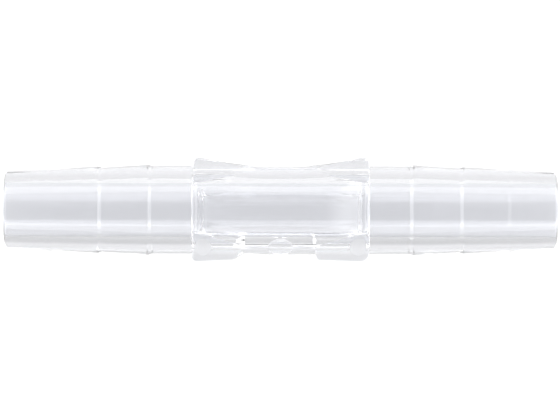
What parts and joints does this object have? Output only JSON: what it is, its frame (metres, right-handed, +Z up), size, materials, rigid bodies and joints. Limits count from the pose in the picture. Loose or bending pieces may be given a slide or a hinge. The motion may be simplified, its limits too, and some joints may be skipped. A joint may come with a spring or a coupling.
{
  "type": "tube connector",
  "caption": "Straight connector for soft hose in clear plastic: a barbed spigot at each end, a waisted finger grip between them and a bore right through.",
  "frame": {"origin": "middle of the connector, on the bore's axis", "axes": "+X along the bore; +Y toward the side of the grip that is waisted, away from the two blocks; +Z up, away from the flat of the grip that the connector lies on"},
  "size_m": [0.07, 0.0131, 0.0124],
  "materials": {
    "clear_plastic": "clear, colourless and polished, as it left the mould"
  },
  "bodies": {
    "root": {"tube_connector": "clear_plastic"}
  },
  "joints": []
}
